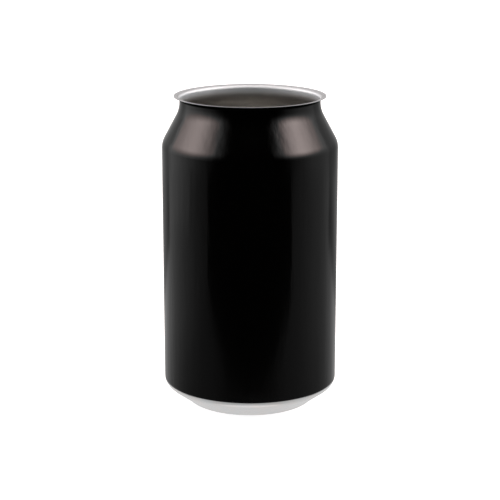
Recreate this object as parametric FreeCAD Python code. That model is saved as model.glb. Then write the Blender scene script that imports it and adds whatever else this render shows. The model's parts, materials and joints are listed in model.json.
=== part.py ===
"""A one-piece aluminium beverage can body, drawn, ironed, necked and flanged, before its end is seamed on.

Millimetres and degrees.  +Z is up, and the origin is on the can's axis at the level that it stands on.
The whole body is one sheet, so its section is one path of bends and straight runs, followed once along
the outer face and once along the inner face, and turned about the axis.
"""
import FreeCAD, Part
import math
import os

# Overall sizes
can_height = 117.8              # stand ring to the top of the flange
body_diameter = 66.2            # outside of the straight wall

# Neck and flange
plug_bore = 52.4                # inside of the short straight neck, which takes the end
plug_height = 5.0               # top of the flange down to the corner of neck and cone
cone_angle = 28.3               # necked-in cone, from the vertical
shoulder_radius = 8.0           # between the wall and the cone
neck_radius = 11.0              # between the cone and the straight neck
flange_width = 2.1              # outside of the neck to the lip
flange_radius = 1.4             # under the flange

# Stand ring and heel
stand_diameter = 46.6           # middle of the flat land
land_width = 0.5                # flat land that touches the table
nose_radius = 1.2               # on both sides of the land
foot_angle = 45.0               # short outer leg above the nose, from the horizontal
foot_height = 1.2               # level where that leg meets the base cone
foot_radius = 2.0               # hollow blend between the two
base_angle = 36.2               # base cone, from the horizontal
heel_radius = 4.0               # between the base cone and the wall

# Dome under the can
leg_lean = 6.0                  # inner leg of the stand ring, from the vertical
leg_height = 4.9                # level of the dome's edge
dome_depth = 10.2               # level of the dome's middle
dome_edge_radius = 1.5          # between the inner leg and the dome

# Sheet thickness, and how it changes up the inside of the wall
base_wall = 0.26                # dome, stand ring and heel
mid_wall = 0.10                 # ironed wall
neck_wall = 0.16                # shoulder, neck and flange
base_wall_reach = 4.0           # heel's end up to where the wall starts to thin
lower_taper = 10.0              # length of the change from base_wall to mid_wall
upper_taper = 8.0               # length of the change from mid_wall to neck_wall
neck_wall_reach = 3.0           # shoulder's start down to where neck_wall is reached

# The directions that the outer face looks in, as angles in the section, measured up from outwards
FACES_OUT = 0.0
FACES_DOWN = -90.0
LEG_FACES = -180.0 + leg_lean
FOOT_FACES = foot_angle - 90.0
BASE_FACES = base_angle - 90.0
CONE_FACES = cone_angle

TOUCHING = 1e-6                 # two points nearer than this are one


def section(radius, level):
    """A point or a step in the half plane that holds the section."""
    return FreeCAD.Vector(radius, 0, level)


def facing(angle):
    """The unit step at an angle in the section."""
    return section(math.cos(math.radians(angle)), math.sin(math.radians(angle)))


def slope(angle):
    return math.tan(math.radians(angle))


class Bend:
    """An arc of the sheet.  The radius is the outer face's, and is negative where the centre lies outside."""

    def __init__(self, centre, radius, faces_from, faces_to):
        self.centre = centre
        self.radius = radius
        self.faces = (faces_from, (faces_from + faces_to) / 2, faces_to)

    def at(self, depth):
        """Start, middle and end of the bend, that deep under the outer face."""
        return [self.centre + facing(angle) * (self.radius - depth) for angle in self.faces]


def bends_at(corners, faces):
    """Bends for a run of corners (point, radius).  faces holds the direction of each side, so one more.

    Where two bends need more than the side between them, both radii shrink to fit it.
    """
    turns = [abs(after - before) / 2 for before, after in zip(faces, faces[1:])]
    needed = [abs(radius) * slope(turn) for (point, radius), turn in zip(corners, turns)]
    shares = [1.0] * len(corners)
    for side in range(len(corners) - 1):
        length = (corners[side + 1][0] - corners[side][0]).Length
        share = min(1.0, length / (needed[side] + needed[side + 1]))
        shares[side] = min(shares[side], share)
        shares[side + 1] = min(shares[side + 1], share)
    bends = []
    for (point, radius), share, before, after in zip(corners, shares, faces, faces[1:]):
        outwards = facing(before) + facing(after)
        outwards = outwards * (1 / facing(before).dot(outwards))
        bends.append(Bend(point - outwards * (radius * share), radius * share, before, after))
    return bends


def dome_bends(leg_foot):
    """The dome and the bend at its edge.  leg_foot is where the inner leg's face would reach the table."""
    edge = leg_foot + section(-leg_height * slope(leg_lean), leg_height)
    rise = dome_depth - leg_height
    dome_radius = (edge.x ** 2 + rise ** 2) / (2 * rise)
    dome_centre = section(0, dome_depth - dome_radius)
    # The bend's centre is dome_edge_radius off the leg, and as far inside the dome's circle.
    down_the_leg = facing(LEG_FACES + 90)
    start = edge + facing(LEG_FACES) * dome_edge_radius - dome_centre
    along = start.dot(down_the_leg)
    inside = dome_radius - dome_edge_radius
    travel = -along - math.sqrt(along ** 2 - start.dot(start) + inside ** 2)
    spoke = start + down_the_leg * travel
    dome_ends = FACES_DOWN - math.degrees(math.atan2(spoke.x, spoke.z))
    return [
        Bend(dome_centre, -dome_radius, FACES_DOWN, dome_ends),
        Bend(dome_centre + spoke, -dome_edge_radius, dome_ends, LEG_FACES),
    ]


def base_bends():
    """Dome, stand ring, foot and heel, from the axis out to the wall."""
    inner_corner = stand_diameter / 2 - land_width / 2 - nose_radius * slope((FACES_DOWN - LEG_FACES) / 2)
    outer_corner = stand_diameter / 2 + land_width / 2 + nose_radius * slope((FOOT_FACES - FACES_DOWN) / 2)
    foot_corner = outer_corner + foot_height / slope(foot_angle)
    heel_level = foot_height + (body_diameter / 2 - foot_corner) * slope(base_angle)
    corners = [
        (section(inner_corner, 0), nose_radius),
        (section(outer_corner, 0), nose_radius),
        (section(foot_corner, foot_height), -foot_radius),
        (section(body_diameter / 2, heel_level), heel_radius),
    ]
    ring = bends_at(corners, [LEG_FACES, FACES_DOWN, FOOT_FACES, BASE_FACES, FACES_OUT])
    return dome_bends(section(inner_corner, 0)) + ring


def neck_bends():
    """Shoulder, neck and flange, from the wall up, and the lip that they end in."""
    neck_outside = plug_bore / 2 + neck_wall
    neck_level = can_height - plug_height
    shoulder_level = neck_level - (body_diameter / 2 - neck_outside) / slope(cone_angle)
    flange_level = can_height - neck_wall
    corners = [
        (section(body_diameter / 2, shoulder_level), shoulder_radius),
        (section(neck_outside, neck_level), -neck_radius),
        (section(neck_outside, flange_level), -min(flange_radius, flange_width)),
    ]
    bends = bends_at(corners, [FACES_OUT, CONE_FACES, FACES_OUT, FACES_DOWN])
    return bends, section(neck_outside + flange_width, flange_level)


def thinning(heel_end, shoulder_start):
    """Points on the inner face of the wall where its thickness starts or stops changing."""
    wall = body_diameter / 2
    thins_at = heel_end.z + base_wall_reach
    thickened_at = shoulder_start.z - neck_wall_reach
    return [
        [section(wall - base_wall, thins_at)],
        [section(wall - mid_wall, thins_at + lower_taper)],
        [section(wall - mid_wall, thickened_at - upper_taper)],
        [section(wall - neck_wall, thickened_at)],
    ]


def trace(stops):
    """Edges along the stops, each one point or the three points of an arc, with straight runs between."""
    edges = []
    pen = stops[0][0]
    for stop in stops:
        if (stop[0] - pen).Length > TOUCHING:
            edges.append(Part.LineSegment(pen, stop[0]).toShape())
        if len(stop) == 3:
            edges.append(Part.Arc(*stop).toShape())
        pen = stop[-1]
    return edges


def can_body():
    base = base_bends()
    neck, lip = neck_bends()
    outer = [bend.at(0) for bend in base + neck] + [[lip]]
    base_inside = [bend.at(base_wall) for bend in base]
    neck_inside = [bend.at(neck_wall) for bend in neck]
    wall_inside = thinning(base_inside[-1][-1], neck_inside[0][0])
    inner = base_inside + wall_inside + neck_inside + [[lip + section(0, neck_wall)]]
    lip_edge = Part.LineSegment(outer[-1][-1], inner[-1][-1]).toShape()
    axis_edge = Part.LineSegment(inner[0][0], outer[0][0]).toShape()
    outline = Part.Wire(trace(outer) + [lip_edge] + trace(inner)[::-1] + [axis_edge])
    return Part.Face(outline).revolve(section(0, 0), section(0, 1), 360)


os.makedirs("parts", exist_ok=True)
can_body().exportStep("parts/can_body.step")
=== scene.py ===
"""Looks of an empty beverage can body: gloss black outside, bare metal base, lacquered inside and flange.

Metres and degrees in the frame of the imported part: +Z up, the can's axis on Z, standing at z = 0.
"""
import json
import math

import bpy
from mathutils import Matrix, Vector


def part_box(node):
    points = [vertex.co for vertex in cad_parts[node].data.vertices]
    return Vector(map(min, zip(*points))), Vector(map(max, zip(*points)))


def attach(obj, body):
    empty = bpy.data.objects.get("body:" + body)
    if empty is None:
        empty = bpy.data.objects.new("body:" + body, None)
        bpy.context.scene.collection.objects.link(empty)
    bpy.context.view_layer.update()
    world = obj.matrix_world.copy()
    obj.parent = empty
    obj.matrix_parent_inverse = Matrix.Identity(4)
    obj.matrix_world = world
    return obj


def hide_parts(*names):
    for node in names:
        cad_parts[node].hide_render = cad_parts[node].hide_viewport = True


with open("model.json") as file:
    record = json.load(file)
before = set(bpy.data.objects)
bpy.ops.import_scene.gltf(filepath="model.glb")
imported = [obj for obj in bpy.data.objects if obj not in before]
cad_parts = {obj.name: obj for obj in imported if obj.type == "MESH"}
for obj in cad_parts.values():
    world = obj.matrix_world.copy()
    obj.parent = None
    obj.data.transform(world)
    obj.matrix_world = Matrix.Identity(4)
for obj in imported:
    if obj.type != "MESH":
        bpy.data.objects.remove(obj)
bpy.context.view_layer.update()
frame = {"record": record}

MM = 0.001

# Sizes taken from the frame
node_low, node_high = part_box("can_body")
can_height = node_high.z
wall_radius = max(node_high.x, node_high.y)
stand_radius = frame["record"]["mounts"][0]["pos_m"][0]

# The sheet's path, with the same sizes as the solid
plug_bore_radius = 26.2 * MM
plug_height = 5.0 * MM
cone_angle = 28.3
shoulder_radius = 8.0 * MM
neck_radius = 11.0 * MM
flange_width = 2.1 * MM
flange_radius = 1.4 * MM
land_width = 0.5 * MM
nose_radius = 1.2 * MM
foot_angle = 45.0
foot_height = 1.2 * MM
foot_radius = 2.0 * MM
base_angle = 36.2
heel_radius = 4.0 * MM
leg_lean = 6.0
leg_height = 4.9 * MM
dome_depth = 10.2 * MM
dome_edge_radius = 1.5 * MM
base_wall = 0.26 * MM
mid_wall = 0.10 * MM
neck_wall = 0.16 * MM
base_wall_reach = 4.0 * MM
lower_taper = 10.0 * MM
upper_taper = 8.0 * MM
neck_wall_reach = 3.0 * MM

# Mesh density
AROUND = 256                    # points around the can
ARC_STEP = 3.0                  # degrees from point to point along a bend
RUN_STEP = 4.0 * MM             # most from point to point along a straight run
SAME_POINT = 1e-9
CREASE = 50.0                   # degrees, the least turn between two faces that is shaded as an edge

# Coating
print_bottom = 8.15 * MM        # level of the black coating's lower edge, on the heel

FACES_OUT = 0.0
FACES_DOWN = -90.0
LEG_FACES = -180.0 + leg_lean
FOOT_FACES = foot_angle - 90.0
BASE_FACES = base_angle - 90.0
CONE_FACES = cone_angle


def facing(angle):
    """The unit step at an angle in the section, as a complex number: radius and level."""
    return complex(math.cos(math.radians(angle)), math.sin(math.radians(angle)))


def slope(angle):
    """The tangent of an angle."""
    return math.tan(math.radians(angle))


class Bend:
    """An arc of the sheet.

    The radius is the outer face's, and is negative where the centre lies outside.
    """

    def __init__(self, centre, radius, faces_from, faces_to):
        self.centre = centre
        self.radius = radius
        self.faces_from = faces_from
        self.faces_to = faces_to

    def at(self, depth, also=()):
        """Points along the bend, that deep under the outer face, and at the directions in also."""
        turn = self.faces_to - self.faces_from
        steps = max(2, math.ceil(abs(turn) / ARC_STEP))
        angles = [self.faces_from + turn * step / steps for step in range(steps + 1)]
        angles = sorted(set(angles) | set(also), reverse=turn < 0)
        return [self.centre + facing(angle) * (self.radius - depth) for angle in angles]


def bends_at(corners, faces):
    """Bends for a run of corners, each a point and a radius, with the directions that their sides face."""
    bends = []
    for (point, radius), before, after in zip(corners, faces, faces[1:]):
        outwards = facing(before) + facing(after)
        outwards = outwards / (1 + math.cos(math.radians(after - before)))
        bends.append(Bend(point - outwards * radius, radius, before, after))
    return bends


def dome_bends(leg_foot):
    """The dome and the bend at its edge.  leg_foot is where the inner leg's face would reach the table."""
    edge = leg_foot + complex(-leg_height * slope(leg_lean), leg_height)
    rise = dome_depth - leg_height
    dome_radius = (edge.real ** 2 + rise ** 2) / (2 * rise)
    dome_centre = complex(0, dome_depth - dome_radius)
    down_the_leg = facing(LEG_FACES + 90)
    start = edge + facing(LEG_FACES) * dome_edge_radius - dome_centre
    along = (start * down_the_leg.conjugate()).real
    inside = dome_radius - dome_edge_radius
    travel = -along - math.sqrt(along ** 2 - abs(start) ** 2 + inside ** 2)
    spoke = start + down_the_leg * travel
    dome_ends = FACES_DOWN - math.degrees(math.atan2(spoke.real, spoke.imag))
    return [
        Bend(dome_centre, -dome_radius, FACES_DOWN, dome_ends),
        Bend(dome_centre + spoke, -dome_edge_radius, dome_ends, LEG_FACES),
    ]


def base_bends():
    """Dome, stand ring, foot and heel, from the axis out to the wall."""
    inner_corner = stand_radius - land_width / 2 - nose_radius * slope((FACES_DOWN - LEG_FACES) / 2)
    outer_corner = stand_radius + land_width / 2 + nose_radius * slope((FOOT_FACES - FACES_DOWN) / 2)
    foot_corner = outer_corner + foot_height / slope(foot_angle)
    heel_level = foot_height + (wall_radius - foot_corner) * slope(base_angle)
    corners = [
        (complex(inner_corner, 0), nose_radius),
        (complex(outer_corner, 0), nose_radius),
        (complex(foot_corner, foot_height), -foot_radius),
        (complex(wall_radius, heel_level), heel_radius),
    ]
    ring = bends_at(corners, [LEG_FACES, FACES_DOWN, FOOT_FACES, BASE_FACES, FACES_OUT])
    return dome_bends(complex(inner_corner, 0)) + ring


def neck_bends():
    """Shoulder, neck and flange, from the wall up, and the lip that they end in."""
    neck_outside = plug_bore_radius + neck_wall
    neck_level = can_height - plug_height
    shoulder_level = neck_level - (wall_radius - neck_outside) / slope(cone_angle)
    flange_level = can_height - neck_wall
    corners = [
        (complex(wall_radius, shoulder_level), shoulder_radius),
        (complex(neck_outside, neck_level), -neck_radius),
        (complex(neck_outside, flange_level), -flange_radius),
    ]
    bends = bends_at(corners, [FACES_OUT, CONE_FACES, FACES_OUT, FACES_DOWN])
    return bends, complex(neck_outside + flange_width, flange_level)


def run(start, end):
    """Points from start up to, but not at, end."""
    steps = max(1, math.ceil(abs(end - start) / RUN_STEP))
    return [start + (end - start) * at / steps for at in range(steps)]


def joined(stretches):
    """One list of points through all the stretches, with straight runs between them."""
    points = [stretches[0][0]]
    for stretch in stretches:
        if abs(stretch[0] - points[-1]) > SAME_POINT:
            points += run(points[-1], stretch[0])[1:] + [stretch[0]]
        points += stretch[1:]
    return points


def wall_thinning(heel_end, shoulder_start):
    """Points on the inner face of the wall where its thickness starts or stops changing."""
    thins_at = heel_end.imag + base_wall_reach
    thickened_at = shoulder_start.imag - neck_wall_reach
    return [
        [complex(wall_radius - base_wall, thins_at)],
        [complex(wall_radius - mid_wall, thins_at + lower_taper)],
        [complex(wall_radius - mid_wall, thickened_at - upper_taper)],
        [complex(wall_radius - neck_wall, thickened_at)],
    ]


def sheet_path():
    """Points and finishes along the whole sheet.

    The path follows the outer face from the dome to the lip, then the inner face back to the dome.
    A finish holds from its own point to the next.
    """
    base = base_bends()
    neck, lip = neck_bends()
    heel = base[-1]
    print_turn = math.degrees(math.asin((print_bottom - heel.centre.imag) / heel.radius))
    print_start = heel.centre + facing(print_turn) * heel.radius
    outer = joined([bend.at(0) for bend in base[:-1]] + [heel.at(0, [print_turn])]
                   + [bend.at(0) for bend in neck] + [[lip]])
    base_inside = [bend.at(base_wall) for bend in base]
    neck_inside = [bend.at(neck_wall) for bend in neck]
    inner = joined(base_inside + wall_thinning(base_inside[-1][-1], neck_inside[0][0])
                   + neck_inside + [[lip + complex(0, neck_wall)]])
    first = min(range(len(outer)), key=lambda at: abs(outer[at] - print_start))
    printed = len(outer) - 1 - first
    finishes = ["bare"] * first + ["print"] * printed + ["inside"] * len(inner)
    return outer + inner[::-1], finishes


def lathe(name, points, finishes, materials):
    """A closed mesh of the path turned about Z.  The path starts and ends on the axis."""
    verts = []
    rings = []
    for point in points:
        if point.real < SAME_POINT:
            rings.append([len(verts)] * AROUND)
            verts.append((0, 0, point.imag))
            continue
        rings.append(range(len(verts), len(verts) + AROUND))
        for at in range(AROUND):
            angle = 2 * math.pi * at / AROUND
            verts.append((point.real * math.cos(angle), point.real * math.sin(angle), point.imag))
    faces = []
    slots = []
    names = list(materials)
    for finish, low, high in zip(finishes, rings, rings[1:]):
        for at in range(AROUND):
            after = (at + 1) % AROUND
            corners = [low[at], low[after], high[after], high[at]]
            faces.append(list(dict.fromkeys(corners)))
            slots.append(names.index(finish))
    mesh = bpy.data.meshes.new(name)
    mesh.from_pydata(verts, [], faces)
    for material in materials.values():
        mesh.materials.append(material)
    mesh.polygons.foreach_set("material_index", slots)
    mesh.shade_smooth()
    mesh.set_sharp_from_angle(angle=math.radians(CREASE))
    mesh.validate()
    piece = bpy.data.objects.new(name, mesh)
    bpy.context.scene.collection.objects.link(piece)
    return piece


# Node helpers

def feed(tree, socket, value):
    """Links the input socket if value is a socket, and sets it otherwise."""
    if isinstance(value, bpy.types.NodeSocket):
        tree.links.new(value, socket)
    else:
        socket.default_value = value


def maths(tree, operation, *values):
    """The result of a sum with numbers or sockets."""
    made = tree.nodes.new("ShaderNodeMath")
    made.operation = operation
    for socket, value in zip(made.inputs, values):
        feed(tree, socket, value)
    return made.outputs[0]


def ramp(tree, value, start, end, low=0.0, high=1.0):
    """A smooth step from low to high as value goes from start to end."""
    made = tree.nodes.new("ShaderNodeMapRange")
    made.interpolation_type = "SMOOTHSTEP"
    for name, amount in (("Value", value), ("From Min", start), ("From Max", end),
                         ("To Min", low), ("To Max", high)):
        feed(tree, made.inputs[name], amount)
    return made.outputs[0]


def blend_colours(tree, amount, low, high):
    """A colour between low and high, which are colours or sockets."""
    made = tree.nodes.new("ShaderNodeMix")
    made.data_type = "RGBA"
    feed(tree, made.inputs[0], amount)
    for socket, value in ((made.inputs[6], low), (made.inputs[7], high)):
        feed(tree, socket, value + (1,) if isinstance(value, tuple) else value)
    return made.outputs[2]


def axes(tree, place):
    """The three parts of a vector."""
    made = tree.nodes.new("ShaderNodeSeparateXYZ")
    tree.links.new(place, made.inputs[0])
    return made.outputs


def new_material(name):
    """A material, its node tree and its shader, with the place on the object as a socket."""
    material = bpy.data.materials.new(name)
    material.use_nodes = True
    tree = material.node_tree
    place = tree.nodes.new("ShaderNodeTexCoord").outputs["Object"]
    return material, tree, tree.nodes["Principled BSDF"], place


def noise(tree, place, per_metre, stretch=(1, 1, 1)):
    """Noise by place.  A small number in stretch draws it out along that axis."""
    mapping = tree.nodes.new("ShaderNodeMapping")
    feed(tree, mapping.inputs["Vector"], place)
    mapping.inputs["Scale"].default_value = stretch
    made = tree.nodes.new("ShaderNodeTexNoise")
    feed(tree, made.inputs["Vector"], mapping.outputs[0])
    made.inputs["Scale"].default_value = per_metre
    made.inputs["Detail"].default_value = 2.0
    return made.outputs[0]


def bump(tree, height, distance):
    """A normal for relief that deep."""
    made = tree.nodes.new("ShaderNodeBump")
    made.inputs["Distance"].default_value = distance
    made.inputs["Strength"].default_value = 1.0
    feed(tree, made.inputs["Height"], height)
    return made.outputs[0]


def black_print():
    """Gloss black coating, as wavy as the ironed and die-necked sheet beneath it.

    Close under the flange its reflection is turned off, a painted shade for the flange being in the way of
    the light.
    """
    material, tree, shader, place = new_material("black_print")
    shader.inputs["Base Color"].default_value = (0.0003, 0.0003, 0.0003, 1)
    shader.inputs["Roughness"].default_value = 0.09
    streaks = noise(tree, place, 380, (1, 1, 0.12))
    feed(tree, shader.inputs["Normal"], bump(tree, streaks, 0.06 * MM))
    level = axes(tree, place)[2]
    # Painted shade: the coating's reflection fades to nothing close under the flange.
    painted_shadow_starts = can_height - 1.9 * MM
    painted_shadow_full = can_height - 1.2 * MM
    feed(tree, shader.inputs["Specular IOR Level"], ramp(tree, level, painted_shadow_starts, painted_shadow_full, 0.5, 0.0))
    return material


def bare_metal():
    """Satin aluminium with faint cool and warm blotches."""
    material, tree, shader, place = new_material("bare_metal")
    shader.inputs["Metallic"].default_value = 1.0
    shader.inputs["Roughness"].default_value = 0.2
    cool = (0.74, 0.75, 0.755)
    warm = (0.77, 0.75, 0.74)
    blotches = ramp(tree, noise(tree, place, 180), 0.35, 0.65)
    feed(tree, shader.inputs["Base Color"], blend_colours(tree, blotches, cool, warm))
    return material


def inside_lacquer():
    """Lacquered aluminium, ironed along the axis, so that highlights spread around the can.

    It is rougher and more neutral up the neck, and darker on the flat of the flange.
    Its colour is also lighter up the neck, a painted light from the open mouth, and darker down the wall,
    a painted shade deep in the can, over the lacquer's own tone.
    """
    material, tree, shader, place = new_material("inside_lacquer")
    level = axes(tree, place)[2]
    # Painted light and shade: the lacquer's colour is lighter towards the mouth and darker deeper in the
    # can.
    wall_tone_and_painted_shade = (0.635, 0.64, 0.62)
    neck_tone_and_painted_light = (0.72, 0.80, 0.83)
    flange_colour = (0.415, 0.455, 0.47)
    up_the_neck_and_painted_light = ramp(tree, level, can_height - 5.5 * MM, can_height - 1.5 * MM)
    on_the_flange = ramp(tree, level, can_height - 1.0 * MM, can_height - 0.2 * MM)
    below = blend_colours(tree, up_the_neck_and_painted_light, wall_tone_and_painted_shade, neck_tone_and_painted_light)
    shader.inputs["Metallic"].default_value = 1.0
    shader.inputs["Anisotropic"].default_value = 0.5
    feed(tree, shader.inputs["Roughness"], ramp(tree, up_the_neck_and_painted_light, 0.0, 1.0, 0.38, 0.6))
    feed(tree, shader.inputs["Base Color"], blend_colours(tree, on_the_flange, below, flange_colour))
    around = tree.nodes.new("ShaderNodeTangent")
    around.direction_type = "RADIAL"
    around.axis = "Z"
    tree.links.new(around.outputs[0], shader.inputs["Tangent"])
    return material


# What surrounds the can, as strengths of light by direction, in units of full white.  Directions are in
# degrees: across is counted from the camera's side, 0 to 180, and above from the horizontal.  A pair is
# where a smooth step starts and ends.

left_box = {
    "strength": 7.1,
    "near": (30, 48),
    "rise": (40, 96),
    "fall": (68, 137),
    "foot": (-8, -1),
    "up": (-2, 40),
    "top_loss": 0.63,
}
right_box = {
    "strength": 10.0,
    "near": (29, 47),
    "rise": (40, 84),
    "fall": (60, 128),
    "foot": (-4, 11),
    "up": (3, 40),
    "top_loss": 0.56,
}
box_rise_from = 0.06            # share of the light that a box has where rise starts
box_up_from = 0.05              # and where up starts
box_top = (18, 46)              # where it loses top_loss

left_haze = {
    "strength": 0.57,
    "rise": (39, 112),
    "upwards": 1.13,
    "dip": 0.56,
    "dip_at": (120, 136),
    "behind": 0.97,
}
right_haze = {
    "strength": 0.31,
    "rise": (40, 96),
    "upwards": 1.3,
    "dip": 0.42,
    "dip_at": (118, 130),
    "behind": 1.27,
}
haze_up = (-12, 30)             # where upwards is gained
haze_behind = (145, 172)        # where behind is gained
haze_gap = 0.5                  # what is lost past both of the next two steps
haze_gap_across = (120, 150)
haze_gap_above = (6, 16)

left_table = {
    "step": 0.11,
    "slow": 0.20,
    "slow_at": (58, 105),
    "far": 0.25,
    "far_at": (90, 155),
    "near_dark": 0.73,
    "ends": 130.5,
    "wall": 0.53,
    "line": 0.26,
}
right_table = {
    "step": 0.14,
    "slow": 0.11,
    "slow_at": (58, 98),
    "far": 0.27,
    "far_at": (98, 168),
    "near_dark": 0.5,
    "ends": 126.0,
    "wall": 0.53,
    "line": 0.30,
}
step_front_share = 0.5          # share of step in front, before front_edge
step_front_edge = (20, 60)
step_side_share = 0.95          # and before the side's edge
step_side_edge = (54, 72)
slow_below = (-20, -16.4)       # where near_dark ends
table_edge_level = -14.35       # far edge of the table, where it starts
table_edge_drop = 1 / 13        # how fast the edge sinks further round
table_edge_blur = (-0.6, 0.6)
table_end_blur = 3
line_width = 3.0                # of the dark line along the table's far edge
wall_dims = (-17, -11)          # where the wall behind loses light, down to wall_dim_to
wall_dim_to = 0.55
table_meets_boxes = (-12.2, -11.4)

front_level = -20.2             # lower end of the dark in front of the table, which curves up to the sides
front_curve = 3.9 / 57 ** 2
front_blur = (-0.5, 0.7)
front_side = (54, 59)

patch_light = 0.13              # small light low on the left
patch_rise = (83.5, 86.5)
patch_fall = (110, 128)
patch_above = (-13.9, -13.3)

near_table = (-42, -37)         # below this is the table close to the can
near_table_lift = 17.0          # it reaches that much higher behind the can
near_table_behind = (100, 150)
under_can = (-74, -66)          # below this is the table under the can
under_can_light = 0.87
near_table_light = (0.5, 0.72)  # in front, and behind
near_table_across = (40, 140)

ceiling_light = 0.9
ceiling_from = (47, 62)
bright = (0.6, 1.5)             # strengths between which the light turns warm
warm_light = (1.15, 0.965, 0.93)
white = (1.0, 1.0, 1.0)


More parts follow.
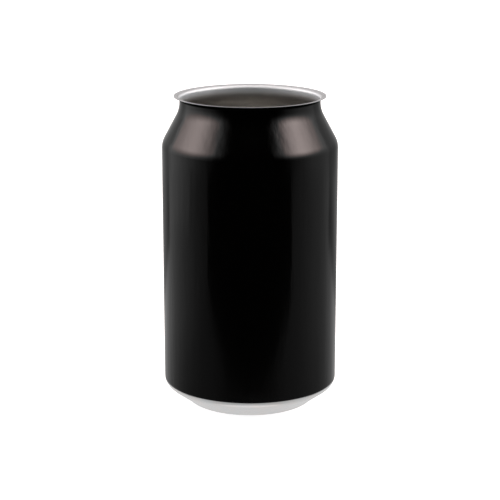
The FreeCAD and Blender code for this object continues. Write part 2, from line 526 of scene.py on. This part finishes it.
def studio():
    """The light around the can: two soft boxes, the pale table beside it, a wall behind and a dark front."""
    world = bpy.data.worlds.new("studio")
    bpy.context.scene.world = world
    world.use_nodes = True
    tree = world.node_tree
    tree.nodes.clear()

    def minus(value, other):
        return maths(tree, "SUBTRACT", value, other)

    def times(*values):
        total = values[0]
        for value in values[1:]:
            total = maths(tree, "MULTIPLY", total, value)
        return total

    def plus(*values):
        total = values[0]
        for value in values[1:]:
            total = maths(tree, "ADD", total, value)
        return total

    def rises(value, span, low=0.0, high=1.0):
        return ramp(tree, value, span[0], span[1], low, high)

    def blend(amount, low, high):
        mixed = tree.nodes.new("ShaderNodeMix")
        feed(tree, mixed.inputs[0], amount)
        feed(tree, mixed.inputs[2], low)
        feed(tree, mixed.inputs[3], high)
        return mixed.outputs[0]

    x, y, z = axes(tree, tree.nodes.new("ShaderNodeTexCoord").outputs["Generated"])
    in_degrees = 180 / math.pi
    towards = times(maths(tree, "ARCTAN2", x, times(y, -1.0)), in_degrees)
    across = maths(tree, "ABSOLUTE", towards)
    above = times(maths(tree, "ARCSINE", z), in_degrees)

    def box(of):
        """A soft box beside the camera."""
        return times(
            of["strength"],
            rises(across, of["near"]),
            rises(across, of["rise"], box_rise_from, 1.0),
            rises(across, of["fall"], 1.0, 0.0),
            rises(above, of["foot"]),
            rises(above, of["up"], box_up_from, 1.0),
            rises(above, box_top, 1.0, 1.0 - of["top_loss"]),
        )

    def haze(of):
        """The dimmer light of the room around the boxes."""
        gap = times(-haze_gap, rises(across, haze_gap_across), rises(above, haze_gap_above))
        return times(
            of["strength"],
            rises(across, of["rise"]),
            rises(above, haze_up, 1.0, 1.0 + of["upwards"]),
            rises(across, of["dip_at"], 1.0, 1.0 - of["dip"]),
            rises(across, haze_behind, 1.0, 1.0 + of["behind"]),
            plus(1.0, gap),
        )

    def table(of):
        """The table by the can, up to its far edge, and the wall above that edge."""
        in_front = rises(across, step_front_edge, step_front_share, 1.0)
        beside_front = rises(across, step_side_edge, step_side_share, 1.0)
        near_dark = rises(above, slow_below, 1.0 - of["near_dark"], 1.0)
        beside = plus(
            times(of["step"], in_front, beside_front),
            times(of["slow"], rises(across, of["slow_at"]), near_dark),
            times(of["far"], rises(across, of["far_at"])),
        )
        further_round = maths(tree, "MAXIMUM", minus(across, of["ends"]), 0.0)
        over_edge = plus(above, times(further_round, table_edge_drop), -table_edge_level)
        end = (of["ends"] - table_end_blur, of["ends"] + table_end_blur)
        past = times(rises(over_edge, table_edge_blur), rises(across, end))
        off_line = times(over_edge, 1 / line_width)
        line = maths(tree, "EXPONENT", times(off_line, off_line, -1.0))
        wall = plus(times(of["wall"], rises(above, wall_dims, 1.0, wall_dim_to)), times(line, -of["line"]))
        return blend(past, beside, wall)

    over_curve = plus(above, times(across, across, -front_curve), -front_level)
    front = times(rises(over_curve, front_blur), rises(across, front_side, 1.0, 0.0))

    def side(box_of, haze_of, low):
        """All the light on one side, with that of the table given as low."""
        kept = times(low, minus(1.0, front))
        return blend(rises(above, table_meets_boxes), kept, plus(box(box_of), haze(haze_of)))

    patch = times(
        patch_light,
        rises(across, patch_rise),
        rises(across, patch_fall, 1.0, 0.0),
        rises(above, patch_above),
    )
    left = side(left_box, left_haze, plus(table(left_table), patch))
    right = side(right_box, right_haze, table(right_table))
    beyond = rises(minus(above, times(near_table_lift, rises(across, near_table_behind))), near_table)
    near_can = rises(above, under_can, under_can_light, rises(across, near_table_across, *near_table_light))
    total = plus(
        times(blend(rises(towards, (-1, 1)), left, right), beyond),
        times(minus(1.0, beyond), near_can),
        times(rises(above, ceiling_from), ceiling_light),
    )
    around = tree.nodes.new("ShaderNodeBackground")
    feed(tree, around.inputs["Color"], blend_colours(tree, rises(total, bright), white, warm_light))
    feed(tree, around.inputs["Strength"], total)

    # The camera itself sees plain white.
    seen = tree.nodes.new("ShaderNodeBackground")
    seen.inputs["Color"].default_value = white + (1,)
    pick = tree.nodes.new("ShaderNodeMixShader")
    rays = tree.nodes.new("ShaderNodeLightPath")
    tree.links.new(rays.outputs["Is Camera Ray"], pick.inputs[0])
    tree.links.new(around.outputs[0], pick.inputs[1])
    tree.links.new(seen.outputs[0], pick.inputs[2])
    output = tree.nodes.new("ShaderNodeOutputWorld")
    tree.links.new(pick.outputs[0], output.inputs[0])


def floor():
    """A pale table that gives off light, so that it stays white up to the can's foot."""
    reach = 6.0
    corners = [(-reach, -reach, 0), (reach, -reach, 0), (reach, reach, 0), (-reach, reach, 0)]
    mesh = bpy.data.meshes.new("floor")
    mesh.from_pydata(corners, [], [(0, 1, 2, 3)])
    material = bpy.data.materials.new("pale_floor")
    material.use_nodes = True
    shader = material.node_tree.nodes["Principled BSDF"]
    shader.inputs["Base Color"].default_value = (0.5, 0.5, 0.5, 1)
    shader.inputs["Roughness"].default_value = 1.0
    shader.inputs["Specular IOR Level"].default_value = 0.0
    shader.inputs["Emission Color"].default_value = (1, 1, 1, 1)
    shader.inputs["Emission Strength"].default_value = 0.9
    mesh.materials.append(material)
    table = bpy.data.objects.new("floor", mesh)
    table.visible_glossy = False
    bpy.context.scene.collection.objects.link(table)


def camera():
    """The photo's view: level sideways, aimed at the can's axis from a little above."""
    distance = 0.59
    elevation = math.radians(14.63)
    aim_height = 58.21 * MM
    data = bpy.data.cameras.new("camera")
    data.sensor_width = 36.0
    data.lens = 111.13
    data.clip_start = 0.01
    view = bpy.data.objects.new("camera", data)
    view.location = (0, -distance * math.cos(elevation), aim_height + distance * math.sin(elevation))
    view.rotation_euler = (math.pi / 2 - elevation, 0, 0)
    bpy.context.scene.collection.objects.link(view)
    bpy.context.scene.camera = view


materials = {
    "bare": bare_metal(),
    "print": black_print(),
    "inside": inside_lacquer(),
}
points, finishes = sheet_path()
can = lathe("can_shell", points, finishes, materials)
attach(can, "root")
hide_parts("can_body")

studio()
floor()
camera()
bpy.context.scene.view_settings.view_transform = "Standard"
